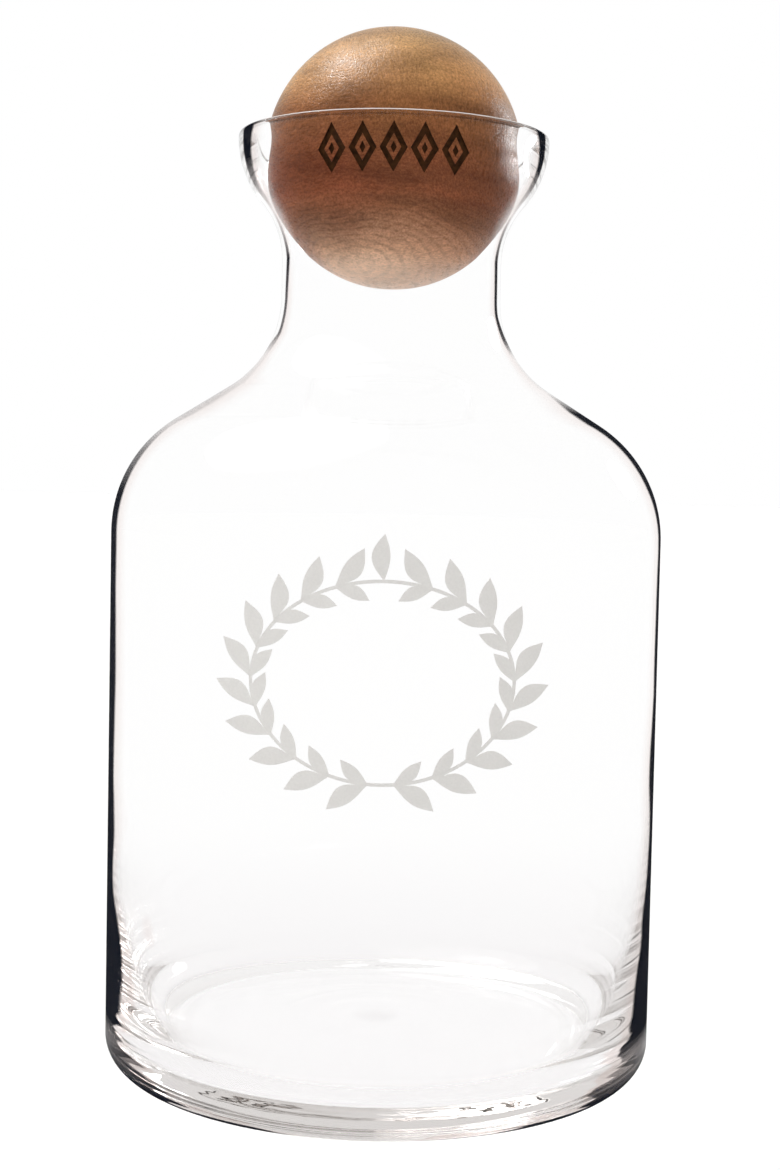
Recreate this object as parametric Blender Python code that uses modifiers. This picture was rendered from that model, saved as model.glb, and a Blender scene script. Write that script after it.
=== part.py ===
"""A clear blown-glass decanter with a turned wooden ball for its stopper.

The flask is one piece of glass: a thick floor with a low push-up, a straight wall that thins as it rises,
a round shoulder, a short neck, and a flared cup with a heavy fire-polished lip. The ball is one piece of
wood. It lies in the cup under its own weight and lifts straight out.

Metres, +Z up. The origin is on the flask's axis, in the plane that the flask stands on. An outline is a
list of points, each a distance from the axis and a height.
"""

import math

import bmesh
import bpy

MM = 0.001

# The flask's outside, from the foot up
BODY_DIAMETER = 121.0 * MM
HEEL_RADIUS = 7.0 * MM  # the round edge between the wall and the foot
SHOULDER_HEIGHT = 117.4 * MM  # the straight wall ends here
SHOULDER_RADIUS = 29.4 * MM
SHOULDER_SLOPE = math.radians(32.2)  # of the cone above the shoulder, from level
NECK_FILLET_RADIUS = 23.5 * MM
NECK_DIAMETER = 48.2 * MM
NECK_LENGTH = 7.6 * MM  # the neck's straight stretch
FLARE_RADIUS = 20.5 * MM  # the cup turns outwards on this radius
CUP_RADIUS = 20.0 * MM  # and back upright on this one
MOUTH_DIAMETER = 68.0 * MM
LIP_EDGE_RADIUS = 0.9 * MM

# The foot, a flat ring round a low push-up
FOOT_RING_WIDTH = 7.5 * MM
PUSH_UP_HEIGHT = 1.2 * MM

# The glass's thickness, square to its outside
FLOOR_THICKNESS = 4.4 * MM
INNER_HEEL_RADIUS = 13.0 * MM
HEEL_WALL = 5.6 * MM  # where the wall leaves the inner heel
HEEL_TAPER = 15.0 * MM  # the wall sheds its extra thickness over about this height
BODY_WALL = 1.2 * MM
NECK_WALL = 1.5 * MM
CUP_WALL = 1.0 * MM
LIP_WALL = 2.8 * MM

# The ball and its seat
BALL_DIAMETER = 56.4 * MM
SEAT_CLEARANCE = 0.3 * MM

# How finely round shapes are cut
FLASK_STEPS = 56
ARC_STEPS = 6
SHOULDER_STEPS = 8
EDGE_STEPS = 3
WALL_STEPS = 7
SEAT_SAMPLES = 40  # on each stretch of the inside, when the ball is seated
BALL_SEGMENTS = 44
BALL_RINGS = 22
MERGE_DISTANCE = 0.02 * MM
QUARTER_TURN = math.radians(90)

# Where the outside passes from one stretch to the next
BODY_RADIUS = BODY_DIAMETER / 2
NECK_RADIUS = NECK_DIAMETER / 2
MOUTH_RADIUS = MOUTH_DIAMETER / 2
SHOULDER_TURN = QUARTER_TURN - SHOULDER_SLOPE  # the neck's fillet turns back by as much
SHOULDER_TOP = SHOULDER_HEIGHT + SHOULDER_RADIUS * math.sin(SHOULDER_TURN)
SHOULDER_TOP_RADIUS = BODY_RADIUS - SHOULDER_RADIUS * (1 - math.cos(SHOULDER_TURN))
CONE_TOP_RADIUS = NECK_RADIUS + NECK_FILLET_RADIUS * (1 - math.cos(SHOULDER_TURN))
CONE_TOP = SHOULDER_TOP + (SHOULDER_TOP_RADIUS - CONE_TOP_RADIUS) * math.tan(SHOULDER_SLOPE)
NECK_FOOT = CONE_TOP + NECK_FILLET_RADIUS * math.sin(SHOULDER_TURN)
FLARE_FOOT = NECK_FOOT + NECK_LENGTH
FLARE_TURN = math.acos(1 - (MOUTH_RADIUS - NECK_RADIUS) / (FLARE_RADIUS + CUP_RADIUS))
FLARE_TOP = FLARE_FOOT + FLARE_RADIUS * math.sin(FLARE_TURN)
LIP_FOOT = FLARE_TOP + CUP_RADIUS * math.sin(FLARE_TURN)
RIM_HEIGHT = LIP_FOOT + LIP_EDGE_RADIUS


def arc(centre, radius, start, end, steps):
    """Points round a centre. An angle of 0 points away from the axis, and a right angle points up."""
    points = []
    for step in range(steps + 1):
        angle = start + (end - start) * step / steps
        points.append((centre[0] + radius * math.cos(angle), centre[1] + radius * math.sin(angle)))
    return points


def mound(reach, base, steps):
    """The push-up's low rise, from its crown on the axis out to its reach, where it meets its base."""
    points = []
    for step in range(steps + 1):
        share = step / steps
        rise = PUSH_UP_HEIGHT * (1 + math.cos(math.pi * share)) / 2
        points.append((reach * share, base + rise))
    return points


def wall_thickness(height):
    """The glass's thickness from the shoulder up, eased between the heights where it is known."""
    known = (
        (SHOULDER_HEIGHT, BODY_WALL),
        (NECK_FOOT, NECK_WALL),
        (FLARE_FOOT, NECK_WALL),
        (FLARE_TOP, CUP_WALL),
        (LIP_FOOT, LIP_WALL),
    )
    thickness = BODY_WALL
    for (low, below), (high, above) in zip(known, known[1:]):
        if height > low:
            share = min((height - low) / (high - low), 1)
            thickness = below + (above - below) * share * share * (3 - 2 * share)
    return thickness


def upper_wall():
    """The outside from the shoulder up to the lip: each point, and the angle of its outward normal."""
    stretches = (
        ((BODY_RADIUS - SHOULDER_RADIUS, SHOULDER_HEIGHT), SHOULDER_RADIUS, 0, SHOULDER_TURN, SHOULDER_STEPS),
        ((NECK_RADIUS + NECK_FILLET_RADIUS, NECK_FOOT), -NECK_FILLET_RADIUS, SHOULDER_TURN, 0, ARC_STEPS),
        ((NECK_RADIUS + FLARE_RADIUS, FLARE_FOOT), -FLARE_RADIUS, 0, -FLARE_TURN, ARC_STEPS),
        ((MOUTH_RADIUS - CUP_RADIUS, LIP_FOOT), CUP_RADIUS, -FLARE_TURN, 0, ARC_STEPS),
    )
    wall = []
    for centre, radius, start, end, steps in stretches:
        for step, point in enumerate(arc(centre, radius, start, end, steps)):
            if not wall or math.dist(wall[-1][0], point) > MERGE_DISTANCE:
                wall.append((point, start + (end - start) * step / steps))
    return wall


def inside_outline():
    """The flask's inside, from the middle of the floor up to the lip."""
    extra = HEEL_WALL - BODY_WALL
    lean = math.atan(extra / HEEL_TAPER)  # of the wall where it leaves the inner heel
    heel_centre = (
        BODY_RADIUS - HEEL_WALL - INNER_HEEL_RADIUS * math.cos(lean),
        FLOOR_THICKNESS + INNER_HEEL_RADIUS,
    )
    heel_top = heel_centre[1] - INNER_HEEL_RADIUS * math.sin(lean)
    floor = mound(heel_centre[0], FLOOR_THICKNESS, ARC_STEPS)
    heel = arc(heel_centre, INNER_HEEL_RADIUS, -QUARTER_TURN, -lean, ARC_STEPS)
    points = floor + heel[1:]
    for step in range(1, WALL_STEPS):
        height = heel_top + (SHOULDER_HEIGHT - heel_top) * (step / WALL_STEPS) ** 2
        thickness = BODY_WALL + extra * math.exp((heel_top - height) / HEEL_TAPER)
        points.append((BODY_RADIUS - thickness, height))
    for (distance, height), normal in upper_wall():
        thickness = wall_thickness(height)
        points.append((distance - thickness * math.cos(normal), height - thickness * math.sin(normal)))
    return points


def lip_outline():
    """The fire-polished lip, over its inner edge, across its flat and over its outer edge."""
    inner_centre = (MOUTH_RADIUS - LIP_WALL + LIP_EDGE_RADIUS, LIP_FOOT)
    outer_centre = (MOUTH_RADIUS - LIP_EDGE_RADIUS, LIP_FOOT)
    inner_edge = arc(inner_centre, LIP_EDGE_RADIUS, 2 * QUARTER_TURN, QUARTER_TURN, EDGE_STEPS)
    outer_edge = arc(outer_centre, LIP_EDGE_RADIUS, QUARTER_TURN, 0, EDGE_STEPS)
    return inner_edge + outer_edge


def outside_outline():
    """The flask's outside, from the lip down to the middle of the foot."""
    wall = [point for point, normal in reversed(upper_wall())]
    ring_radius = BODY_RADIUS - HEEL_RADIUS
    heel = arc((ring_radius, HEEL_RADIUS), HEEL_RADIUS, 0, -QUARTER_TURN, ARC_STEPS)
    push_up = mound(ring_radius - FOOT_RING_WIDTH, 0, ARC_STEPS)
    return wall + heel + push_up[::-1]


def seated_height():
    """The lowest height of the ball's centre at which it clears the inside and the lip all round."""
    reach = BALL_DIAMETER / 2 + SEAT_CLEARANCE
    seat = inside_outline() + lip_outline()[1:]
    centre = 0
    for (near, low), (far, high) in zip(seat, seat[1:]):
        for sample in range(SEAT_SAMPLES):
            share = sample / SEAT_SAMPLES
            distance = near + (far - near) * share
            if distance < reach:
                height = low + (high - low) * share
                centre = max(centre, height + math.sqrt(reach**2 - distance**2))
    return centre


def clear_scene():
    for thing in list(bpy.data.objects):
        bpy.data.objects.remove(thing, do_unlink=True)


def make_material(name, colour, roughness, transmission=0.0, ior=1.5):
    material = bpy.data.materials.new(name)
    material.use_nodes = True
    shader = material.node_tree.nodes["Principled BSDF"]
    shader.inputs["Base Color"].default_value = (*colour, 1)
    shader.inputs["Roughness"].default_value = roughness
    shader.inputs["Metallic"].default_value = 0
    shader.inputs["Transmission Weight"].default_value = transmission
    shader.inputs["IOR"].default_value = ior
    return material


def make_flask(collection, material):
    """The flask, turned from one outline that runs up its inside, over the lip and down its outside."""
    outline = inside_outline() + lip_outline()[1:] + outside_outline()[1:]
    mesh = bpy.data.meshes.new("glass_flask")
    shape = bmesh.new()
    points = [shape.verts.new((distance, 0, height)) for distance, height in outline]
    for start, end in zip(points, points[1:]):
        shape.edges.new((start, end))
    shape.to_mesh(mesh)
    shape.free()
    mesh.materials.append(material)
    flask = bpy.data.objects.new("glass_flask", mesh)
    collection.objects.link(flask)
    turn = flask.modifiers.new("Turn", "SCREW")
    turn.axis = "Z"
    turn.steps = FLASK_STEPS
    turn.render_steps = FLASK_STEPS
    turn.use_merge_vertices = True
    turn.merge_threshold = MERGE_DISTANCE
    turn.use_smooth_shade = True
    return flask


def make_ball(collection, material):
    """The wooden ball. It rests inside the flare, on a ring below its middle."""
    bpy.ops.mesh.primitive_uv_sphere_add(
        segments=BALL_SEGMENTS,
        ring_count=BALL_RINGS,
        radius=BALL_DIAMETER / 2,
        location=(0, 0, seated_height()),
    )
    ball = bpy.context.object
    ball.name = "ball_stopper"
    ball.data.name = "ball_stopper"
    ball.data.shade_smooth()
    ball.data.materials.append(material)
    for home in list(ball.users_collection):
        home.objects.unlink(ball)
    collection.objects.link(ball)
    return ball


def main():
    clear_scene()
    decanter = bpy.data.collections.new("decanter")
    bpy.context.scene.collection.children.link(decanter)
    make_flask(decanter, make_material("clear_glass", (0.95, 0.96, 0.96), 0.02, transmission=1.0))
    make_ball(decanter, make_material("oiled_wood", (0.32, 0.17, 0.085), 0.45))
    print(f"rim at {RIM_HEIGHT / MM:.2f} mm, ball's centre at {seated_height() / MM:.2f} mm")


main()
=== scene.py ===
# %% [markdown]
# # A blown-glass decanter with a wooden ball for its stopper
# This file dresses a solid model of the decanter for a photograph. The solid model is already the right
# size: a flask with a real wall and floor, and a ball that lies in the flask's cup. What is made here is
# what a camera sees, which is clear glass with smooth curves, oiled wood with its grain, a frosted
# decoration on the front, and a studio to stand them in.

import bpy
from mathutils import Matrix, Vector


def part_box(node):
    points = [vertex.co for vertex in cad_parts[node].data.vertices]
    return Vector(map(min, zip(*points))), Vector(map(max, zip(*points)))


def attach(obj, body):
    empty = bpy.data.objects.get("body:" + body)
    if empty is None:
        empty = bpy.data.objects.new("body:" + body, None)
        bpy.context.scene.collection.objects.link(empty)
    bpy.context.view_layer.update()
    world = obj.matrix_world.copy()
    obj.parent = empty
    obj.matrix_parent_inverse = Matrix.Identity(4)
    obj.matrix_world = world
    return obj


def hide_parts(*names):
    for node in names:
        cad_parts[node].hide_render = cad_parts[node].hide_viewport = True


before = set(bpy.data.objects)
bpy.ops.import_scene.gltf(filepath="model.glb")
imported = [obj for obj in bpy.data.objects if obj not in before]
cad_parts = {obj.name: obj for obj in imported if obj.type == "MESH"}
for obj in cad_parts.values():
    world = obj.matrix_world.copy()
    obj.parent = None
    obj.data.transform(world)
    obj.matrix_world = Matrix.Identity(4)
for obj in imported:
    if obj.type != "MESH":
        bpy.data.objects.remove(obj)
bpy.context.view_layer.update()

# %% [markdown]
# ## Sizes that everything follows
# Nothing is measured twice. The flask's radius and rim, and the ball's radius and centre, are read from the
# solid model, and every piece below is built on them. Blender counts in metres, so millimetres get a name.

# %% Read the sizes
import math

import bmesh
import bpy
from mathutils import Matrix, Vector

MM = 0.001
QUARTER = math.radians(90)
flask_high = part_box("glass_flask")[1]
ball_low, ball_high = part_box("ball_stopper")
body_radius = flask_high.x
rim_height = flask_high.z
ball_radius = (ball_high.z - ball_low.z) / 2
ball_height = (ball_high.z + ball_low.z) / 2
print(f"body radius {body_radius / MM:.1f} mm, rim at {rim_height / MM:.1f} mm")
print(f"ball radius {ball_radius / MM:.1f} mm, its centre at {ball_height / MM:.1f} mm")

# %% [markdown]
# ## The camera
# The picture is a close product photograph. From the way the flask's sides draw together towards the
# bottom, and from how open its foot looks against its mouth, the lens sits about 0.4 m away, a little
# above half height, tipped slightly down and turned by about a degree. Setting the camera first means
# that every later choice can be judged in the frame that matters.

# %% Camera
LENS = 56.3
CAMERA_PLACE = Vector((1.1 * MM, -407.2 * MM, 129.7 * MM))
CAMERA_DOWN = math.radians(3.28)
CAMERA_ROLL = math.radians(1.18)

camera_data = bpy.data.cameras.new("camera")
camera_data.lens = LENS
camera_data.sensor_width = 36
camera_data.clip_start = 0.01
camera = bpy.data.objects.new("camera", camera_data)
bpy.context.scene.collection.objects.link(camera)
tipped = Matrix.Rotation(QUARTER - CAMERA_DOWN, 4, "X")
rolled = tipped @ Matrix.Rotation(CAMERA_ROLL, 4, "Z")
camera.matrix_world = Matrix.Translation(CAMERA_PLACE) @ rolled
bpy.context.scene.camera = camera
print("camera", round(-CAMERA_PLACE.y, 3), "m in front,", round(CAMERA_PLACE.z, 3), "m up")

# %% [markdown]
# ## Working by operator
# Blender's operators act on whatever is selected, and the solid model comes in selected. These small
# helpers clear that away and hand each operator just the piece that it should change.

# %% Selection helpers
def take(piece):
    """Make one piece the only selected object, and the active one."""
    bpy.ops.object.select_all(action="DESELECT")
    piece.select_set(True)
    bpy.context.view_layer.objects.active = piece


def edit(piece, mode="VERT"):
    """Open one piece in edit mode with nothing selected."""
    take(piece)
    bpy.ops.object.mode_set(mode="EDIT")
    bpy.ops.mesh.select_mode(type=mode)
    bpy.ops.mesh.select_all(action="DESELECT")


def done():
    """Leave edit mode."""
    bpy.ops.object.mode_set(mode="OBJECT")


def close_up():
    """In edit mode, turn every face of the piece outwards."""
    bpy.ops.mesh.select_all(action="SELECT")
    bpy.ops.mesh.normals_make_consistent(inside=False)


def settle(piece):
    """Put a piece's place, turn and scale into its mesh."""
    take(piece)
    bpy.ops.object.transform_apply(location=True, rotation=True, scale=True)


def apply_all(piece):
    """Make every modifier's result the piece's own mesh."""
    take(piece)
    for modifier in list(piece.modifiers):
        bpy.ops.object.modifier_apply(modifier=modifier.name)


print("selected on loading:", [piece.name for piece in bpy.context.selected_objects])

# %% [markdown]
# ## The flask's section
# A blown flask is a shape of revolution, so its whole form is one line: from the middle of the floor, up
# the inside, over the lip and down the outside. The solid model holds that line too, but in short straight
# steps, and glass would show each of them. So the line is drawn again on the same sizes with finer steps.
# Each stretch of the outside is an arc that leaves the one before it without a corner, as a glassblower's
# wooden block and paddles leave it.

# %% The outside's sizes
HEEL = 7.0 * MM
SHOULDER = 29.4 * MM
SHOULDER_START = 117.4 * MM
SHOULDER_TURN = math.radians(90 - 32.2)
NECK_FILLET = 23.5 * MM
NECK_RADIUS = 24.1 * MM
NECK_STRAIGHT = 7.6 * MM
FLARE = 20.5 * MM
CUP = 20.0 * MM
MOUTH_RADIUS = 34.0 * MM
LIP_TOP = 0.9 * MM
LIP_EDGE = 0.5 * MM

lip_foot = rim_height - LIP_TOP
flare_turn = math.acos(1 - (MOUTH_RADIUS - NECK_RADIUS) / (FLARE + CUP))
flare_top = lip_foot - CUP * math.sin(flare_turn)
flare_foot = flare_top - FLARE * math.sin(flare_turn)
neck_foot = flare_foot - NECK_STRAIGHT
print(f"neck from {neck_foot / MM:.1f} to {flare_foot / MM:.1f} mm, cup from {flare_top / MM:.1f} mm up")

# %% The outside, in arcs
def arc(centre, radius, start, end, steps):
    """Points round a centre, as (distance from the axis, height, angle of the outward normal)."""
    turn = [start + (end - start) * step / steps for step in range(steps + 1)]
    return [(centre[0] + radius * math.cos(t), centre[1] + radius * math.sin(t), t) for t in turn]


upper_wall = (
    arc((body_radius - SHOULDER, SHOULDER_START), SHOULDER, 0, SHOULDER_TURN, 34)
    + arc((NECK_RADIUS + NECK_FILLET, neck_foot), -NECK_FILLET, SHOULDER_TURN, 0, 28)
    + arc((NECK_RADIUS + FLARE, flare_foot), -FLARE, 0, -flare_turn, 20)
    + arc((MOUTH_RADIUS - CUP, lip_foot), CUP, -flare_turn, 0, 20)[1:]
)
print("upper wall:", len(upper_wall), "points")

# %% [markdown]
# ## The inside
# The wall is not the same all the way up. Glass gathers at the foot, which is left heavy so that the flask
# stands well, thins as the body is blown out, and gathers again in the lip when the fire melts the edge
# round. So each inside point lies square behind an outside point, by the thickness at its height.

# %% How thick the glass is
FLOOR = 4.4 * MM
PUSH_UP = 1.2 * MM
FOOT_RING = 7.5 * MM
INNER_HEEL = 13.0 * MM
HEEL_WALL = 5.6 * MM
HEEL_TAPER = 15.0 * MM
BODY_WALL = 1.2 * MM
NECK_WALL = 1.5 * MM
CUP_WALL = 1.0 * MM
LIP_WALL = 2.8 * MM
wall_at = ((SHOULDER_START, BODY_WALL), (neck_foot, NECK_WALL), (flare_foot, NECK_WALL),
           (flare_top, CUP_WALL), (lip_foot, LIP_WALL))


def thickness(height):
    """How thick the wall is from the shoulder up, eased between the heights where it is known."""
    wall = BODY_WALL
    for (low, below), (high, above) in zip(wall_at, wall_at[1:]):
        if height > low:
            share = min((height - low) / (high - low), 1)
            wall = below + (above - below) * share * share * (3 - 2 * share)
    return wall


print("wall in mm:", [round(thickness(height) / MM, 1) for height, _ in wall_at])

# %% The inside, behind the outside
BODY_STEPS = 40


def mound(reach, base, steps):
    """The low rise in the middle of the floor, from the axis out to its reach."""
    shares = [step / steps for step in range(steps + 1)]
    return [(reach * share, base + PUSH_UP * (1 + math.cos(math.pi * share)) / 2) for share in shares]


extra = HEEL_WALL - BODY_WALL
lean = math.atan(extra / HEEL_TAPER)
heel_centre = (body_radius - HEEL_WALL - INNER_HEEL * math.cos(lean), FLOOR + INNER_HEEL)
heel_top = heel_centre[1] - INNER_HEEL * math.sin(lean)
inside = mound(heel_centre[0], FLOOR, 30) + arc(heel_centre, INNER_HEEL, -QUARTER, -lean, 16)[1:]
for step in range(1, BODY_STEPS):
    height = heel_top + (SHOULDER_START - heel_top) * (step / BODY_STEPS) ** 1.6
    wall = BODY_WALL + extra * math.exp((heel_top - height) / HEEL_TAPER)
    inside.append((body_radius - wall, height))
for out, height, normal in upper_wall:
    wall = thickness(height)
    inside.append((out - wall * math.cos(normal), height - wall * math.sin(normal)))
print("inside:", len(inside), "points, floor at", round(inside[0][1] / MM, 2), "mm")

# %% [markdown]
# ## One closed line
# The lip's two edges are small arcs with a flat between them. With them, the inside and the outside join
# into one line that starts and ends on the axis. The wall could also be a thin sheet with a Solidify on
# it, but one line lets the glass be as thick as it really is at every height, and leaves it closed.

# %% Join the stretches into one section
lip_centre = rim_height - LIP_EDGE
lip_in = arc((MOUTH_RADIUS - LIP_WALL + LIP_EDGE, lip_centre), LIP_EDGE, 2 * QUARTER, QUARTER, 8)
lip_out = arc((MOUTH_RADIUS - LIP_EDGE, lip_centre), LIP_EDGE, QUARTER, 0, 8)
wall_down = [(body_radius, SHOULDER_START + (HEEL - SHOULDER_START) * step / 24) for step in range(1, 24)]
heel = arc((body_radius - HEEL, HEEL), HEEL, 0, -QUARTER, 22)
foot = mound(body_radius - HEEL - FOOT_RING, 0, 30)[::-1]
section = inside + lip_in + lip_out + upper_wall[::-1] + wall_down + heel + foot
section = [Vector((point[0], 0, point[1])) for point in section]
print("section:", len(section), "points")

# %% [markdown]
# ## Drawing the section
# A line in Blender grows out of one point. A small plane is merged at its centre, moved to the middle of
# the floor, and then extruded from point to point, just as one would click along a tracing.

# %% Extrude a point along the section
SHORTEST = 0.01 * MM


def draw_line(name, points):
    """A chain of edges through these points, grown from a single vertex."""
    bpy.ops.object.select_all(action="DESELECT")
    bpy.ops.mesh.primitive_plane_add(size=MM)
    piece = bpy.context.object
    piece.name = piece.data.name = name
    edit(piece)
    bpy.ops.mesh.select_all(action="SELECT")
    bpy.ops.mesh.merge(type="CENTER")
    bpy.ops.transform.translate(value=points[0])
    for start, end in zip(points, points[1:]):
        if (end - start).length > SHORTEST:
            bpy.ops.mesh.extrude_region_move(TRANSFORM_OT_translate={"value": end - start})
    done()
    return piece


flask = draw_line("clear_flask", section)
solid_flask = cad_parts["glass_flask"]
gaps = [(solid_flask.closest_point_on_mesh(v.co)[1] - v.co).length for v in flask.data.vertices]
print(f"drawn: {len(flask.data.vertices)} points, at most {max(gaps) / MM:.2f} mm from the solid")

# %% [markdown]
# ## Turning the section into glass
# Spin sweeps the line once round the upright axis. Glass shows every flat in its outline, so the turn takes
# many steps. The two ends lie on the axis and come out as many points in one place, and the last step lands
# on the first, so doubles are merged. Only then are the normals turned outwards, because light is bent by
# which side of a face it meets.

# %% Spin the flask
TURN_STEPS = 144

edit(flask)
bpy.ops.mesh.select_all(action="SELECT")
bpy.ops.mesh.spin(steps=TURN_STEPS, angle=math.tau, center=(0, 0, 0), axis=(0, 0, 1))
bpy.ops.mesh.select_all(action="SELECT")
bpy.ops.mesh.remove_doubles(threshold=0.005 * MM)
close_up()
done()
take(flask)
bpy.ops.object.shade_smooth()
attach(flask, "flask")
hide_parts("glass_flask")
print("flask:", len(flask.data.polygons), "faces")

# %% [markdown]
# ## Nodes in a few words
# Each finish is a small network of nodes. These helpers add a node with its settings, join two sockets, and
# do one step of arithmetic, so that a network reads from top to bottom like a recipe.

# %% Adding nodes
WHITE = (1, 1, 1, 1)


def finish(name):
    """A new material with a Principled shader; gives the material, its tree and the shader."""
    material = bpy.data.materials.new(name)
    material.use_nodes = True
    return material, material.node_tree, material.node_tree.nodes["Principled BSDF"]


def add(tree, kind, sockets=None, **settings):
    """Add a node, set its properties, and fill its sockets with numbers or join them to others."""
    node = tree.nodes.new("ShaderNode" + kind)
    for name, value in settings.items():
        setattr(node, name, value)
    for name, value in (sockets or {}).items():
        if isinstance(value, bpy.types.NodeSocket):
            tree.links.new(value, node.inputs[name])
        else:
            node.inputs[name].default_value = value
    return node


def show(tree, shader):
    """Make this shader the one that the surface shows."""
    tree.links.new(shader, tree.nodes["Material Output"].inputs["Surface"])


trial = finish("trial")
print("a finish starts with", [node.name for node in trial[1].nodes])
bpy.data.materials.remove(trial[0])

# %% Arithmetic with nodes
def sum_up(tree, operation, *values):
    """One step of arithmetic on numbers or sockets."""
    return add(tree, "Math", dict(enumerate(values)), operation=operation).outputs[0]


def times(tree, first, *others):
    """Multiply several numbers or sockets, one after another."""
    for other in others:
        first = sum_up(tree, "MULTIPLY", first, other)
    return first


def minus(tree, value, less):
    """Take one number or socket from another."""
    return sum_up(tree, "SUBTRACT", value, less)


def larger(tree, one, other):
    """The larger of two numbers or sockets."""
    return sum_up(tree, "MAXIMUM", one, other)


def rise(tree, value, low, high, start=0.0, end=1.0):
    """Ease from start to end while a value goes from low to high. Any of them may be a socket."""
    sockets = {"Value": value, "From Min": low, "From Max": high, "To Min": start, "To Max": end}
    return add(tree, "MapRange", sockets, interpolation_type="SMOOTHSTEP").outputs[0]


print("arithmetic helpers:", [helper.__name__ for helper in (sum_up, times, minus, larger, rise)])

# %% Places, patterns and colours
def split(tree, vector):
    """The three parts of a place or direction."""
    parts = add(tree, "SeparateXYZ", {"Vector": vector}).outputs
    return parts["X"], parts["Y"], parts["Z"]


def stretch(tree, vector, factors):
    """Shrink or widen a place along each axis, which stretches any pattern that is read from it."""
    return add(tree, "VectorMath", {0: vector, 1: factors}, operation="MULTIPLY").outputs[0]


def reach(tree, vector):
    """The distance of a place from the origin."""
    return add(tree, "VectorMath", {0: vector}, operation="LENGTH").outputs["Value"]


def noise(tree, vector, scale, detail, roughness=0.5):
    """Soft noise from 0 to 1. The scale is about how many of its lumps fit in a metre."""
    sockets = {"Vector": vector, "Scale": scale, "Detail": detail, "Roughness": roughness}
    return add(tree, "TexNoise", sockets).outputs["Fac"]


def blend(tree, share, start, end):
    """Mix two colours, or two places, by a share."""
    sockets = {"Factor": share, "A": start, "B": end}
    return add(tree, "Mix", sockets, data_type="RGBA").outputs["Result"]


def ramp(tree, source, stops):
    """A colour ramp over a value: stops are (place, colour) pairs, a colour being red, green and blue."""
    node = add(tree, "ValToRGB", {"Fac": source})
    points = node.color_ramp.elements
    while len(points) < len(stops):
        points.new(0.5)
    for point, (place, colour) in zip(points, stops):
        point.position = place
        point.color = (*colour, 1)
    return node.outputs["Color"]


print("pattern helpers:", [helper.__name__ for helper in (split, stretch, reach, noise, blend, ramp)])

# %% [markdown]
# ## Clear glass
# The glass is one shader that lets everything through and bends it as window glass does, by 1.5. What makes
# it look blown is in its surface. The melt was turned while it set, so its waviness runs round the flask in
# rings, strongest where the heavy foot cooled last, and all but gone above the body. Noise that is read
# over the distance from the axis and the height gives such rings, since both stay the same all the way
# round. A tenth of the sideways place is added, so that the rings aren't perfect.

# %% Glass: rings left by turning
clear_glass, tree, glass = finish("blown_glass")
place = add(tree, "TexCoord").outputs["Object"]
sideways, forwards, height = split(tree, place)
radius = reach(tree, stretch(tree, place, (1, 1, 0)))
aside = times(tree, sideways, 0.10)
around = add(tree, "CombineXYZ", {"X": radius, "Y": aside, "Z": height}).outputs[0]
rings = noise(tree, around, 95, 3)
heavy = rise(tree, height, 4 * MM, 45 * MM, 1.0, 0.06)
calm = rise(tree, height, 130 * MM, 160 * MM, 1.0, 0.15)
sockets = {"Height": rings, "Strength": times(tree, heavy, calm), "Distance": 0.05 * MM}
tree.links.new(add(tree, "Bump", sockets).outputs[0], glass.inputs["Normal"])
print("waves in the glass:", len(tree.nodes), "nodes")

# %% [markdown]
# ## The dark lines of clear glass
# Seen along its wall, glass is thick and bends in light from far aside, where a studio is dark. So clear
# glass on white shows as dark lines along its outline, and the thicker the wall, the wider the line. The
# studio here is white, so these lines are painted shade: a near-black matt shader is laid over the glass for
# what the camera sees. How slanted the wall is seen is Layer Weight's Facing, from 0 straight on to 1 at the
# outline. A little noise is added to it, so that the lines swell and break as they do on blown glass: slow
# drifts everywhere, fine streaks on the heel, and soft swellings on the lower body. Far to the sides of the
# heel a little more is added, because there one looks through the most glass.

# %% Glass: how slanted the wall is seen
facing = add(tree, "LayerWeight", {"Blend": 0.5}).outputs["Facing"]
off_middle = sum_up(tree, "ABSOLUTE", sideways)


def uneven(tree, vector, scale):
    """Soft noise that goes as far below nothing as above it."""
    return minus(tree, noise(tree, vector, scale, 1), 0.5)


drift = uneven(tree, place, 26)
streaks = times(tree, uneven(tree, around, 520), rise(tree, height, 6 * MM, 20 * MM, 1.0, 0.0))
swell = times(tree, uneven(tree, place, 42), rise(tree, height, 45 * MM, 85 * MM, 1.0, 0.0))
beside = rise(tree, off_middle, 26 * MM, 52 * MM, 0.0, 0.14)
beside = times(tree, beside, rise(tree, height, 6 * MM, 14 * MM, 1.0, 0.0))
slant = sum_up(tree, "MULTIPLY_ADD", drift, 0.12, facing)
slant = sum_up(tree, "MULTIPLY_ADD", streaks, 0.7, slant)
slant = sum_up(tree, "ADD", beside, slant)
slant = sum_up(tree, "MULTIPLY_ADD", swell, 0.25, slant)
print("slant:", len(tree.nodes), "nodes")

# %% [markdown]
# ## Where the lines lie
# A wall that is blown by hand is not equally thick on both sides, so the left and the right have a table
# each. A row says, for one height in millimetres, at what slant the line begins, at what slant it ends, and
# how strong it is. An end above 1 means that the line runs out to the outline, which it does on the body.
# In the cup it stops short of it, because the wall is thin there and its outermost edge stays clear.

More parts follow.
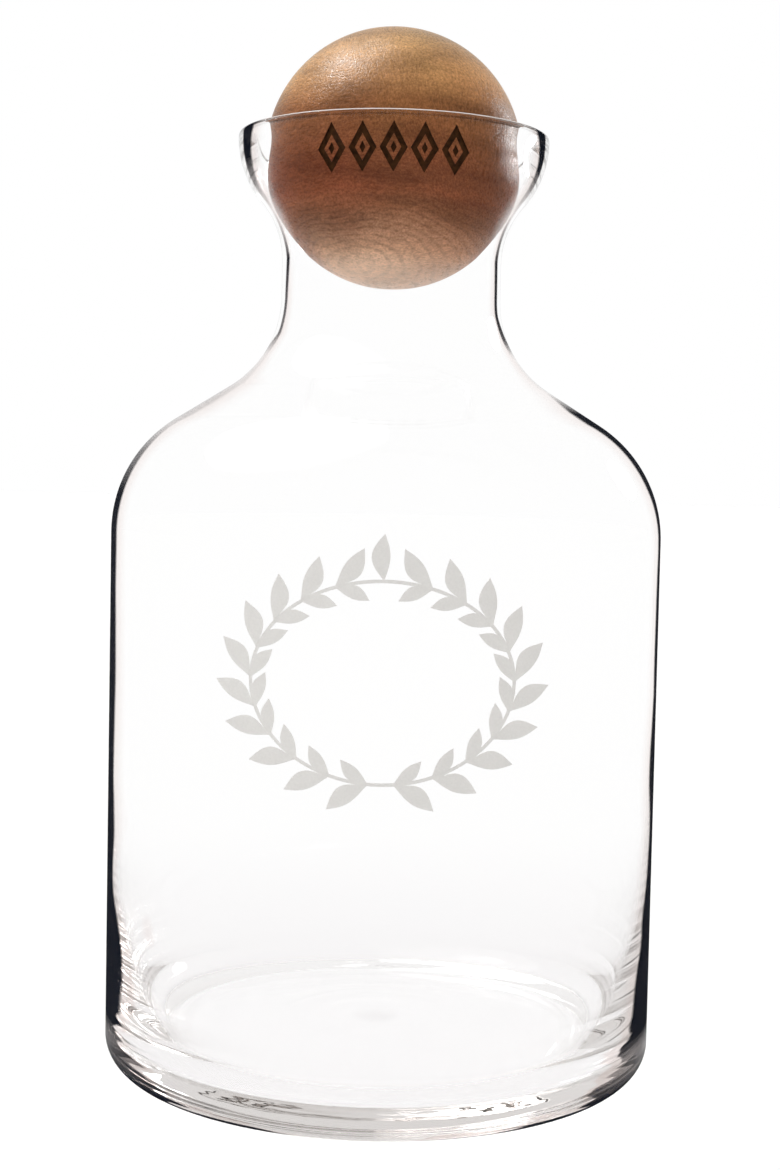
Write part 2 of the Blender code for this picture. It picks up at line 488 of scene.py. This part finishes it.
# %% Glass: a table of lines for each side
LEFT_LINES = (
    (0.00, 0.86, 1.3, 1.00), (3.45, 0.70, 1.3, 1.00), (8.05, 0.68, 1.3, 0.70), (12.65, 0.66, 1.3, 1.00),
    (23.00, 0.665, 1.3, 1.00), (31.05, 0.70, 1.3, 1.00), (40.25, 0.765, 1.3, 1.00),
    (69.00, 0.80, 1.3, 1.00), (126.50, 0.835, 1.3, 1.00), (134.55, 0.84, 1.3, 0.75),
    (140.30, 0.86, 1.2, 0.30), (156.40, 0.80, 1.1, 0.10), (161.00, 0.70, 0.77, 0.80),
    (177.10, 0.65, 0.73, 1.00), (182.85, 0.71, 0.77, 0.50), (187.45, 0.74, 0.79, 0.10),
    (192.05, 0.70, 0.79, 0.50), (197.80, 0.63, 0.77, 1.00), (204.47, 0.58, 0.76, 1.00),
)
RIGHT_LINES = (
    (0.00, 0.86, 1.3, 1.00), (3.45, 0.70, 1.3, 1.00), (8.05, 0.68, 1.3, 0.55), (12.65, 0.685, 1.3, 1.00),
    (21.85, 0.70, 1.3, 1.00), (31.05, 0.735, 1.3, 1.00), (43.70, 0.775, 1.3, 1.00),
    (73.60, 0.825, 1.3, 1.00), (85.10, 0.86, 1.3, 1.00), (115.00, 0.865, 1.3, 1.00),
    (128.80, 0.83, 1.3, 1.00), (144.90, 0.825, 1.2, 1.00), (149.04, 0.88, 1.1, 0.10),
    (156.86, 0.80, 1.1, 0.05), (160.31, 0.74, 0.90, 0.90), (165.60, 0.67, 0.75, 1.00),
    (177.10, 0.65, 0.73, 1.00), (184.00, 0.70, 0.76, 0.60), (187.45, 0.74, 0.79, 0.10),
    (192.05, 0.71, 0.79, 0.50), (196.65, 0.69, 0.79, 1.00), (204.47, 0.63, 0.79, 1.00),
)
TABLE_TOP = 230


def by_height(tree, table):
    """A ramp that carries the three numbers of each row as red, green and blue."""
    share = sum_up(tree, "DIVIDE", height, TABLE_TOP * MM)
    return ramp(tree, share, [(at / TABLE_TOP, numbers) for at, *numbers in table])


right_half = rise(tree, sideways, -5 * MM, 5 * MM)
row = blend(tree, right_half, by_height(tree, LEFT_LINES), by_height(tree, RIGHT_LINES))
row = add(tree, "SeparateColor", {"Color": row}).outputs
begins, ends, strength = row["Red"], row["Green"], row["Blue"]
print("line tables:", len(LEFT_LINES), "rows on the left,", len(RIGHT_LINES), "on the right")

# %% Glass: the lines, and the warm tint beside them
SOFT = 0.02


def near(tree, value):
    """A little less and a little more than a value, between which a line fades."""
    return minus(tree, value, SOFT), sum_up(tree, "ADD", value, SOFT)


# Painted shade: the dark line lies where the slant falls between a row's begin and end.
begun = rise(tree, slant, *near(tree, begins))
within = rise(tree, slant, *near(tree, ends), 1.0, 0.0)
line = times(tree, begun, within, strength)
# A thin painted dark outline along the upper flask.
outline = times(tree, rise(tree, facing, 0.93, 0.985, 0.0, 0.5), rise(tree, height, 138 * MM, 155 * MM))
line = larger(tree, line, outline)
# Painted light: a warm band just inside each painted dark line.
glow = rise(tree, slant, minus(tree, begins, 0.15), begins)
swollen = sum_up(tree, "MULTIPLY_ADD", swell, 0.5, slant)
band = rise(tree, swollen, minus(tree, begins, 0.12), minus(tree, begins, 0.08))
band = times(tree, band, rise(tree, height, 20 * MM, 70 * MM, 0.9, 0.0))
glow = times(tree, larger(tree, glow, band), within)
print("dark lines:", len(tree.nodes), "nodes")

# %% [markdown]
# ## Tint
# Beside each dark line the glass is a little warm, and in the middle of the floor a faint grey eye shows.
# Both are painted into the tint of the light that comes through: the warm band is painted light beside the
# painted shade of the lines, and the grey eye is painted shade. The lines and the warm tint are for what the
# camera
# sees directly: in the glass behind the glass they would double.

# %% Glass: tint
path = add(tree, "LightPath")
direct = path.outputs["Is Camera Ray"]
# Painted shade: a faint grey eye in the middle of the floor.
floor_only = rise(tree, height, 7 * MM, 9 * MM, 1.0, 0.0)
eye = larger(tree, rise(tree, radius, 0.0, 7 * MM), rise(tree, rings, 0.35, 0.62))
eye = times(tree, minus(tree, 1, eye), floor_only)
plain = blend(tree, eye, WHITE, (0.90, 0.89, 0.89, 1))
tint = blend(tree, times(tree, glow, direct), plain, (0.80, 0.67, 0.63, 1))
tree.links.new(tint, glass.inputs["Base Color"])
print("tinted glass:", len(tree.nodes), "nodes")

# %% [markdown]
# ## No mirror image over the ball
# The near side of the cup mirrors the white studio, and that pale veil hides the wood behind it. A
# photographer takes it away with a polarising filter. Here the front of the cup is mixed with a shader that
# only bends light. It stops short of the cup's sides and of any place where light leaves the wall at a
# shallow angle, because such light has to be mirrored inside the glass, and would otherwise go black.

# %% Glass: the front of the cup
above_neck = rise(tree, height, 168 * MM, 178 * MM)
below_lip = rise(tree, height, 203.0 * MM, 203.6 * MM, 1.0, 0.0)
front = rise(tree, forwards, -12 * MM, -8 * MM, 1.0, 0.0)
ball_wide = rise(tree, off_middle, 24.5 * MM, 27.5 * MM, 1.0, 0.0)
entering = minus(tree, 1, add(tree, "NewGeometry").outputs["Backfacing"])
steep = rise(tree, facing, 0.20, 0.245, 1.0, 0.0)
filtered = times(tree, above_neck, below_lip, front, ball_wide, larger(tree, entering, steep))
sockets = {"Color": plain, "Roughness": 0, "IOR": 1.5}
unmirrored = add(tree, "BsdfRefraction", sockets).outputs[0]
viewed = add(tree, "MixShader", {0: filtered, 1: glass.outputs[0], 2: unmirrored}).outputs[0]
print("front of the cup:", len(tree.nodes), "nodes")

# %% Glass: put the lines on, and let lamp light through
# Painted shade: a near-black matt shader, seen by the camera as the dark lines along the outline.
painted_edge_shade = add(tree, "BsdfDiffuse", {"Color": (0.004, 0.006, 0.012, 1)}).outputs[0]
with_painted_lines = add(tree, "MixShader", {0: times(tree, line, 0.985, direct), 1: viewed, 2: painted_edge_shade}).outputs[0]
lamp = larger(tree, path.outputs["Is Shadow Ray"], path.outputs["Is Diffuse Ray"])
through = add(tree, "BsdfTransparent").outputs[0]
lit = add(tree, "MixShader", {0: times(tree, lamp, 0.95), 1: with_painted_lines, 2: through}).outputs[0]
show(tree, lit)
print("clear glass:", len(tree.nodes), "nodes")

# %% [markdown]
# ## The glass's body
# Light that travels far inside the glass loses a little of itself, which is what gives the thick foot its
# weight. The numbers below are the same all over the flask, so they are set on the shader's own sockets.

# %% Glass: its body
depth = add(tree, "VolumeAbsorption", {"Color": (0.72, 0.69, 0.67, 1), "Density": 11.0}).outputs[0]
tree.links.new(depth, tree.nodes["Material Output"].inputs["Volume"])
glass.inputs["Specular Tint"].default_value = (0.12, 0.12, 0.12, 1)
glass.inputs["Transmission Weight"].default_value = 1
glass.inputs["Roughness"].default_value = 0
glass.inputs["IOR"].default_value = 1.5
flask.data.materials.clear()
flask.data.materials.append(clear_glass)
print("flask finish:", clear_glass.name)

# %% [markdown]
# ## The lip
# The lip was melted round in the fire. Its crown catches the light as a bright line in front of the ball, and
# goes dark at both ends, where one looks along it. A small lamp could draw that line too, but it would leave
# spots on the body as well. So the lip gets a copy of the glass, with a painted highlight laid over the faces
# that point upwards: pale in the middle, and a painted dark reflection at both ends.

# %% Finish the lip
lip_glass = clear_glass.copy()
lip_glass.name = "lip_painted_highlight"
tree = lip_glass.node_tree
upward = split(tree, add(tree, "NewGeometry").outputs["Normal"])[2]
crown = rise(tree, upward, 0.35, 0.60, 0.0, 0.85)
off_middle = sum_up(tree, "ABSOLUTE", split(tree, add(tree, "TexCoord").outputs["Object"])[0])
lip_ends = rise(tree, off_middle, 25 * MM, 30 * MM)
# Painted highlight along the crown, with a painted dark reflection at its ends.
painted_crown_colour = blend(tree, lip_ends, (0.86, 0.83, 0.81, 1), (0.10, 0.09, 0.10, 1))
bright = add(tree, "BsdfDiffuse", {"Color": painted_crown_colour}).outputs[0]
below = tree.nodes["Material Output"].inputs["Surface"].links[0].from_socket
show(tree, add(tree, "MixShader", {0: crown, 1: below, 2: bright}).outputs[0])
flask.data.materials.append(lip_glass)
edit(flask, "FACE")
shape = bmesh.from_edit_mesh(flask.data)
for face in shape.faces:
    face.select_set(face.calc_center_median().z > lip_foot)
lip_faces = sum(face.select for face in shape.faces)
bmesh.update_edit_mesh(flask.data)
flask.active_material_index = 1
bpy.ops.object.material_slot_assign()
done()
print("lip:", lip_faces, "faces")

# %% [markdown]
# ## A frosted wreath on the front
# The front of the body carries a decoration that is etched into the glass, which leaves it matt and pale. A
# closed oval wreath stands here: one leaf is modelled, bent a little, and copied in pairs round an oval stem.
# It is made flat, in front of the flask, because a flat leaf is easy to shape.

# %% Shape one leaf
LEAF_COLUMNS = 12


def select_column(piece, x, slack):
    """Select the points of an open mesh that lie at this distance along X."""
    shape = bmesh.from_edit_mesh(piece.data)
    for vert in shape.verts:
        vert.select_set(abs(vert.co.x - x) < slack)
    shape.select_flush(True)
    bmesh.update_edit_mesh(piece.data)


def make_leaf(length, width, bend):
    """A flat pointed leaf from the origin along X, curved to one side."""
    bpy.ops.object.select_all(action="DESELECT")
    bpy.ops.mesh.primitive_grid_add(
        x_subdivisions=LEAF_COLUMNS, y_subdivisions=2, size=length, location=(length / 2, 0, 0)
    )
    piece = bpy.context.object
    settle(piece)
    edit(piece)
    for column in range(LEAF_COLUMNS + 1):
        share = column / LEAF_COLUMNS
        select_column(piece, length * share, length / LEAF_COLUMNS / 3)
        wide = max(math.sin(math.pi * share ** 1.05), 0.02)
        bpy.ops.transform.resize(value=(1, wide * width / length, 1))
        bpy.ops.transform.translate(value=(0, bend * math.sin(math.pi * share), 0))
    done()
    return piece


leaf = make_leaf(9.0 * MM, 3.6 * MM, 0.7 * MM)
print("leaf:", len(leaf.data.polygons), "faces,", round(leaf.dimensions.x / MM, 1), "mm long")

# %% Copy it in pairs round an oval
WREATH_WIDTH = 25.5 * MM
WREATH_TALL = 19.5 * MM
WREATH_HEIGHT = 91 * MM
PAIRS = 10
STEM = 0.7 * MM
LEAF_LEAN = math.radians(36)
LEAF_START = 0.75
INNER_LEAF = 0.74
LOWEST_PAIR, HIGHEST_PAIR = -85, 68


def place_copy(source, spot, angle, flip, size=1):
    """A copy with its own mesh, turned in the flat of the drawing, moved, and settled there."""
    piece = source.copy()
    piece.data = source.data.copy()
    bpy.context.scene.collection.objects.link(piece)
    piece.rotation_euler.z = angle
    piece.scale = (size, flip * size, 1)
    piece.location = spot
    settle(piece)
    return piece


leaves = []
for side in (-1, 1):
    for pair in range(PAIRS):
        turn = math.radians(LOWEST_PAIR + (HIGHEST_PAIR - LOWEST_PAIR) * pair / (PAIRS - 1))
        spot = Vector((side * WREATH_WIDTH * math.cos(turn), WREATH_TALL * math.sin(turn), 0))
        along = math.atan2(WREATH_TALL * math.cos(turn), -side * WREATH_WIDTH * math.sin(turn))
        for lean in (-1, 1):
            angle = along + lean * LEAF_LEAN
            aside = Vector((math.cos(angle), math.sin(angle), 0)) * STEM * LEAF_START
            size = INNER_LEAF if lean == side else 1
            leaves.append(place_copy(leaf, spot + aside, angle, -lean, size))
leaves.append(place_copy(leaf, Vector((0, WREATH_TALL, 0)), QUARTER, 1))
bpy.data.objects.remove(leaf)
print("copied:", len(leaves), "leaves")

# %% The stem, and the leaves as one piece
bpy.ops.object.select_all(action="DESELECT")
bpy.ops.mesh.primitive_circle_add(vertices=96, radius=1)
wreath = bpy.context.object
wreath.name = wreath.data.name = "frosted_wreath"
wreath.scale = (WREATH_WIDTH - STEM / 2, WREATH_TALL - STEM / 2, 1)
settle(wreath)
edit(wreath)
bpy.ops.mesh.select_all(action="SELECT")
bpy.ops.mesh.extrude_edges_move()
bpy.ops.transform.resize(value=(1 + STEM / WREATH_WIDTH, 1 + STEM / WREATH_TALL, 1))
done()
foliage = leaves[0]
take(foliage)
for piece in leaves:
    piece.select_set(True)
bpy.ops.object.join()
print("wreath:", [round(size / MM, 1) for size in foliage.dimensions], "mm")

# %% [markdown]
# ## Laying the wreath on the glass
# Stood upright in front of the flask, the flat wreath is thrown straight back on to the body by Shrinkwrap,
# as a stencil is laid on before the acid. A Solidify of a few hundredths of a millimetre gives the frosting
# a skin of its own, so that its face lies just proud of the clear glass. The leaves lie a little further
# out than the stem, because two skins at the same depth would flicker.

# %% Wrap the wreath
STAND_OFF = 5 * MM
STEM_LIFT = 0.06 * MM
LEAF_LIFT = 0.10 * MM
SKIN = 0.6


def lay_on_glass(piece, lift):
    """Stand a flat piece up in front of the flask, throw it back on to the glass, and give it a skin."""
    piece.rotation_euler.x = QUARTER
    piece.location = (0, -body_radius - STAND_OFF, WREATH_HEIGHT)
    settle(piece)
    wrap = piece.modifiers.new("wrap", "SHRINKWRAP")
    wrap.target = flask
    wrap.wrap_method = "PROJECT"
    wrap.use_project_y = True
    wrap.offset = lift
    skin = piece.modifiers.new("skin", "SOLIDIFY")
    skin.thickness = lift * SKIN
    skin.offset = -1
    apply_all(piece)
    edit(piece)
    close_up()
    done()


lay_on_glass(wreath, STEM_LIFT)
lay_on_glass(foliage, LEAF_LIFT)
take(wreath)
foliage.select_set(True)
bpy.ops.object.join()
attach(wreath, "flask")
print("wreath on the glass, in front by", round(-min(v.co.y for v in wreath.data.vertices) / MM, 2), "mm")

# %% [markdown]
# ## Frosting
# Acid bites the glass into tiny pits that scatter light, so the frosting is a matt, pale grey with a grain
# that one can just make out. Rough glass would do it too, but it needs many samples to come out clean, so
# a matt surface stands for it. Fine noise gives the pits, and coarse noise the slight clouds that a brush
# leaves.

# %% Frosted finish
frosted, tree, frost = finish("frosted_glass")
place = add(tree, "TexCoord").outputs["Object"]
pits = noise(tree, place, 2400, 2)
cloud = noise(tree, place, 160, 2)
tone = sum_up(tree, "MULTIPLY_ADD", cloud, 0.06, 0.76)
tone = sum_up(tree, "MULTIPLY_ADD", pits, 0.10, tone)
sockets = {0: (0.98, 0.965, 0.945), "Scale": tone}
tree.links.new(add(tree, "VectorMath", sockets, operation="SCALE").outputs[0], frost.inputs["Base Color"])
sockets = {"Height": pits, "Strength": 0.3, "Distance": 0.05 * MM}
tree.links.new(add(tree, "Bump", sockets).outputs[0], frost.inputs["Normal"])
tree.links.new(rise(tree, pits, 0, 1, 0.6, 0.8), frost.inputs["Roughness"])
frost.inputs["Specular IOR Level"].default_value = 0.2
wreath.data.materials.clear()
wreath.data.materials.append(frosted)
print("frosting:", len(tree.nodes), "nodes")

# %% [markdown]
# ## The wooden ball
# A turned ball has no poles, so it starts as a cube whose faces are divided and then cast on to a sphere.
# Its squares stay nearly even, which suits the ornament that is cut into it.

# %% Cast a cube on to a ball
def cast_ball(name, radius):
    """A ball of even squares round the ball's own centre."""
    bpy.ops.object.select_all(action="DESELECT")
    bpy.ops.mesh.primitive_cube_add(size=2 * radius)
    piece = bpy.context.object
    piece.name = name
    edit(piece)
    bpy.ops.mesh.select_all(action="SELECT")
    bpy.ops.mesh.subdivide(number_cuts=47)
    done()
    cast = piece.modifiers.new("cast", "CAST")
    cast.cast_type, cast.factor, cast.use_radius_as_size = "SPHERE", 1, False
    cast.radius, cast.size = 0, radius
    apply_all(piece)
    piece.rotation_euler = (0.11, 0.07, 0.23)
    settle(piece)
    bpy.ops.object.shade_smooth()
    piece.location.z = ball_height
    settle(piece)
    return piece


ball = cast_ball("wood_ball", ball_radius)
print("ball:", len(ball.data.polygons), "faces,", round(ball.dimensions.z / MM, 1), "mm tall")

# %% [markdown]
# ## A burnt ornament
# The front of the ball has an ornament that is burnt in: a row of five outlined lozenges with a small one
# in each. A hot iron leaves a shallow groove with an even depth, although the ball curves away. So each
# cutter is a straight prism, and a smaller ball is first taken out of it. What is left cuts exactly to that
# depth, and carries its own burnt colour into the cut.

# %% Make a lozenge cutter
STROKE = 1.15 * MM
CUTTER_LENGTH = 14 * MM
CUTTER_FRONT = -18 * MM
ROW_HEIGHT = ball_height - 1.7 * MM


def make_lozenge(x, half_width, half_height, outlined):
    """An upright prism that points at the front of the ball, hollow if it is outlined."""
    bpy.ops.object.select_all(action="DESELECT")
    bpy.ops.mesh.primitive_circle_add(vertices=4, radius=1, fill_type="NGON")
    piece = bpy.context.object
    piece.scale = (half_width, half_height, 1)
    settle(piece)
    edit(piece, "FACE")
    bpy.ops.mesh.select_all(action="SELECT")
    if outlined:
        bpy.ops.mesh.inset(thickness=STROKE)
        bpy.ops.mesh.delete(type="FACE")
    bpy.ops.mesh.select_all(action="SELECT")
    bpy.ops.mesh.extrude_region_move(TRANSFORM_OT_translate={"value": (0, 0, CUTTER_LENGTH)})
    close_up()
    done()
    piece.rotation_euler.x = QUARTER
    piece.location = (x, CUTTER_FRONT, ROW_HEIGHT)
    settle(piece)
    return piece


print("the row's middle is at", round(ROW_HEIGHT / MM, 1), "mm")

# %% The row of cutters
LOZENGES = 5
PITCH = 6.3 * MM

cutters = []
for number in range(LOZENGES):
    x = PITCH * (number - (LOZENGES - 1) / 2)
    cutters.append(make_lozenge(x, 2.85 * MM, 5.1 * MM, True))
    cutters.append(make_lozenge(x, 0.62 * MM, 1.25 * MM, False))
for piece in cutters:
    piece.select_set(True)
bpy.ops.object.join()
cutter = bpy.context.object
burnt, burnt_tree, char = finish("burnt_wood")
cutter.data.materials.append(burnt)
print("cutters:", len(cutters), "prisms,", len(cutter.data.polygons), "faces")

# %% Burn them in
GROOVE = 0.45 * MM


def cut(piece, tool, name):
    """Take one piece out of another, and keep the tool's material on what it cut."""
    taken = piece.modifiers.new(name, "BOOLEAN")
    taken.operation, taken.solver, taken.object = "DIFFERENCE", "EXACT", tool
    taken.material_mode = "TRANSFER"
    apply_all(piece)


core = cast_ball("core", ball_radius - GROOVE)
core.data.materials.append(burnt)
cut(cutter, core, "depth")
ball_wood, tree, wood = finish("ball_wood")
ball.data.materials.append(ball_wood)
cut(ball, cutter, "ornament")
for tool in (core, cutter):
    bpy.data.objects.remove(tool)
take(ball)
bpy.ops.object.shade_smooth_by_angle(angle=math.radians(25))
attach(ball, "stopper")
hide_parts("ball_stopper")
print("ball:", len(ball.data.polygons), "faces,", [m.name for m in ball.data.materials])

# %% [markdown]
# ## Oiled wood
# The ball is turned from a piece of a trunk, so its colour runs in zones round the trunk's heart: pale
# at the bottom, where the heart comes near the surface, dark brown in the middle, and golden at the top. The
# paleness at the bottom is partly painted light as well, standing in for light that reaches it from below
# through the glass. A picture of wood wrapped round the ball would show a seam, while a pattern worked out in
# space runs right through it as grain does. So the distance from the heart gives the zones. It is squeezed
# across the ball, so that they lie nearly level, and bent by a little noise, because a plain distance looks
# printed.

# %% Wood: zones of colour round the heart
heart = Vector((-6.0 * MM, 0, ball_height - 24.5 * MM))
place = add(tree, "TexCoord").outputs["Object"]
centred = add(tree, "Mapping", {"Vector": place, "Location": -heart}).outputs[0]
wander = add(tree, "TexNoise", {"Vector": centred, "Scale": 38, "Detail": 2}).outputs["Color"]
shift = add(tree, "VectorMath", {0: wander, 1: (0.5, 0.5, 0.5)}, operation="SUBTRACT").outputs[0]
sockets = {0: shift, 1: (8 * MM, 8 * MM, 8 * MM), 2: centred}
bent = add(tree, "VectorMath", sockets, operation="MULTIPLY_ADD").outputs[0]
layer = sum_up(tree, "DIVIDE", reach(tree, stretch(tree, bent, (0.24, 0.06, 1))), 52.8 * MM)
# The pale stops at 0.00 and 0.06 are wood colour and partly painted light from below.
zones = ramp(tree, layer, [
    (0.00, (0.58, 0.360, 0.255)), (0.06, (0.46, 0.252, 0.164)), (0.13, (0.33, 0.157, 0.094)),
    (0.20, (0.250, 0.097, 0.050)), (0.27, (0.203, 0.064, 0.030)), (0.40, (0.188, 0.060, 0.027)),
    (0.50, (0.210, 0.076, 0.032)), (0.62, (0.26, 0.110, 0.042)), (0.74, (0.42, 0.230, 0.094)),
    (0.86, (0.48, 0.290, 0.128)), (1.00, (0.47, 0.288, 0.138)),
])
hue = noise(tree, bent, 34, 1)
hue = ramp(tree, hue, [(0.40, (1.05, 0.96, 0.92)), (0.60, (0.98, 1.01, 0.96))])
tinted = add(tree, "VectorMath", {0: zones, 1: hue}, operation="MULTIPLY").outputs[0]
print("zones:", len(tree.nodes), "nodes")

# %% [markdown]
# ## Grain
# Over the zones lies the grain, in several sizes: fine growth rings, which show best at the pale bottom,
# clouds a few millimetres wide, fibres, short dark and light flecks, and a stipple as fine as the pores.
# The fibres run level over most of the ball, and upright at its right, where the cut crosses them.

# %% Wood: which way the fibres run
level = stretch(tree, bent, (0.3, 0.3, 1))
upright = stretch(tree, bent, (1, 1, 0.35))
across, _, up = split(tree, centred)
turned = rise(tree, sum_up(tree, "MULTIPLY_ADD", up, 0.6, across), 20 * MM, 36 * MM)
along = blend(tree, turned, level, upright)
fibre = noise(tree, along, 1900, 3, 0.6)
fleck = noise(tree, along, 1700, 3, 0.7)
print("fibres:", len(tree.nodes), "nodes")

# %% Wood: rings, clouds and stipple
flat = stretch(tree, bent, (0.42, 0.06, 1))
sockets = {"Vector": flat, "Scale": 260, "Distortion": 2.0, "Detail": 2, "Detail Scale": 1.2}
rings = add(tree, "TexWave", sockets, wave_type="RINGS", rings_direction="SPHERICAL").outputs["Fac"]
ring_line = times(tree, rise(tree, layer, 0.10, 0.34, 0.19, 0.06), rise(tree, rings, 0.6, 1.0))
cloud = noise(tree, level, 150, 3)
stipple = noise(tree, bent, 2100, 2, 0.7)
grain = times(
    tree,
    rise(tree, cloud, 0.32, 0.68, 0.74, 1.26),
    rise(tree, stipple, 0.3, 0.7, 0.76, 1.24),
    rise(tree, fibre, 0.3, 0.7, 0.86, 1.14),
    rise(tree, fleck, 0.60, 0.70, 1.0, 0.80),
    rise(tree, fleck, 0.30, 0.38, 1.30, 1.0),
    minus(tree, 1, ring_line),
)
print("grain:", len(tree.nodes), "nodes")

# %% [markdown]
# ## Oil, and painted light at the bottom
# Oil leaves the wood with a soft sheen that follows its fibres, and almost no mirror image. At the very
# bottom the colour is painted paler: painted light, a sheen from the white floor at a grazing angle. The ball
# is left out of the mirror images on the glass round it, for the same reason as the cup's veil: they would
# cover the wood itself.

# %% Wood: colour, sheen and bump
toned = add(tree, "VectorMath", {0: tinted, "Scale": grain}, operation="SCALE").outputs[0]
# Painted light: the bottom few millimetres are painted paler, as a sheen from the white floor.
painted_light_below = rise(tree, up, -3.6 * MM, 4.0 * MM, 0.45, 0.0)
tree.links.new(blend(tree, painted_light_below, toned, (0.80, 0.64, 0.52, 1)), wood.inputs["Base Color"])
tree.links.new(rise(tree, fibre, 0.3, 0.7, 0.24, 0.38), wood.inputs["Roughness"])
sockets = {"Height": grain, "Strength": 0.4, "Distance": 0.2 * MM}
tree.links.new(add(tree, "Bump", sockets).outputs[0], wood.inputs["Normal"])
wood.inputs["Specular IOR Level"].default_value = 0.06
mirrored = sum_up(tree, "GREATER_THAN", add(tree, "LightPath").outputs["Glossy Depth"], 0.5)
gone = add(tree, "BsdfTransparent").outputs[0]
show(tree, add(tree, "MixShader", {0: mirrored, 1: wood.outputs[0], 2: gone}).outputs[0])
print("oiled wood:", len(tree.nodes), "nodes")

# %% [markdown]
# ## Burnt wood
# The iron chars the floor and sides of each groove to a matt dark brown. It isn't black all over: soot
# comes away where the grain is coarse, so a little noise lightens it.

# %% Burnt finish
place = add(burnt_tree, "TexCoord").outputs["Object"]
soot = noise(burnt_tree, place, 900, 3)
colour = ramp(burnt_tree, soot, [(0.3, (0.022, 0.008, 0.002)), (0.7, (0.066, 0.025, 0.007))])
burnt_tree.links.new(colour, char.inputs["Base Color"])
char.inputs["Roughness"].default_value = 0.8
char.inputs["Specular IOR Level"].default_value = 0.1
print("burnt wood:", len(burnt_tree.nodes), "nodes")

# %% [markdown]
# ## The studio
# A world that is white to the eye, to mirror images and to light that comes through the glass gives a clean
# background. What lights the wood is a second, dimmer world, brighter above than below, so that colours
# come out as they are written. Light crosses many faces on its way through a flask, so it is given many
# bounces.

# %% World
BOUNCES = 64


def bent_rays(tree):
    """Whether a ray has been bent or mirrored on its way."""
    path = add(tree, "LightPath").outputs
    return larger(tree, path["Is Transmission Ray"], path["Is Glossy Ray"])


def eye_rays(tree):
    """Whether a ray is bent, mirrored or straight from the camera, so that the eye sees its end."""
    return larger(tree, add(tree, "LightPath").outputs["Is Camera Ray"], bent_rays(tree))


scene = bpy.context.scene
scene.view_settings.view_transform = "Standard"
scene.cycles.max_bounces = BOUNCES
scene.cycles.transmission_bounces = BOUNCES
scene.cycles.glossy_bounces = BOUNCES
world = bpy.data.worlds.new("studio")
scene.world = world
world.use_nodes = True
tree = world.node_tree
tree.nodes.clear()
upward = split(tree, add(tree, "TexCoord").outputs["Generated"])[2]
white = add(tree, "Background", {"Color": WHITE, "Strength": 1}).outputs[0]
ceiling = rise(tree, upward, -0.2, 1.0, 0.40, 0.95)
fill = add(tree, "Background", {"Color": (1, 0.99, 0.97, 1), "Strength": ceiling}).outputs[0]
both = add(tree, "MixShader", {0: eye_rays(tree), 1: fill, 2: white}).outputs[0]
add(tree, "OutputWorld", {"Surface": both})
print("world:", len(tree.nodes), "nodes")

# %% [markdown]
# ## The floor
# The flask stands on white paper. To the camera it is paper that takes the shadow. Through the glass and in
# mirror images it is an emission of nearly even white, with a painted shadow: it turns faintly grey close to
# the flask, as is seen through the flask's foot, and stands for the shade that the flask casts next to it.

# %% Floor
FLOOR_REACH = 12
FLOOR_DROP = 0.1 * MM

bpy.ops.object.select_all(action="DESELECT")
bpy.ops.mesh.primitive_circle_add(
    vertices=64, radius=FLOOR_REACH, fill_type="NGON", location=(0, 0, -FLOOR_DROP)
)
floor = bpy.context.object
floor.name = "floor"
pale, tree, paper = finish("pale_floor")
paper.inputs["Base Color"].default_value = (0.8, 0.8, 0.8, 1)
paper.inputs["Roughness"].default_value = 1
paper.inputs["Specular IOR Level"].default_value = 0
paper.inputs["Emission Color"].default_value = WHITE
tree.links.new(times(tree, eye_rays(tree), 0.13), paper.inputs["Emission Strength"])
distance = reach(tree, add(tree, "TexCoord").outputs["Object"])
# Painted shadow: the emitted white is greyed close to the flask.
even = blend(tree, rise(tree, distance, 0.05, 0.25), (0.96, 0.95, 0.955, 1), WHITE)
even = add(tree, "Emission", {"Color": even, "Strength": 1}).outputs[0]
mostly = times(tree, bent_rays(tree), 0.92)
show(tree, add(tree, "MixShader", {0: mostly, 1: paper.outputs[0], 2: even}).outputs[0])
floor.data.materials.append(pale)
print("floor:", round(floor.dimensions.x, 1), "m across")

# %% [markdown]
# ## The lamps
# One wide softbox from the upper left gives the ball its form. A narrower lamp in nearly the same place is
# seen only as a highlight on the wood, and a weak strip from behind on the right draws a pale edge there.

# %% Lamps
def hang_lamp(name, strength, spread, direction, gloss_only=False):
    """A far lamp: how strongly it lights, how wide it looks in degrees, and where it stands."""
    data = bpy.data.lights.new(name, "SUN")
    data.energy = strength
    data.angle = math.radians(spread)
    lamp = bpy.data.objects.new(name, data)
    bpy.context.scene.collection.objects.link(lamp)
    lamp.rotation_euler = Vector(direction).to_track_quat("Z", "Y").to_euler()
    lamp.visible_diffuse = not gloss_only
    print(name, "strength", strength, "and", spread, "degrees wide")


hang_lamp("softbox", 1.25, 50, (-0.42, 0.10, 0.90))
hang_lamp("highlight", 7.0, 16, (-0.44, 0.15, 0.88), gloss_only=True)
hang_lamp("strip_light", 0.8, 14, (0.67, 0.66, 0.34), gloss_only=True)
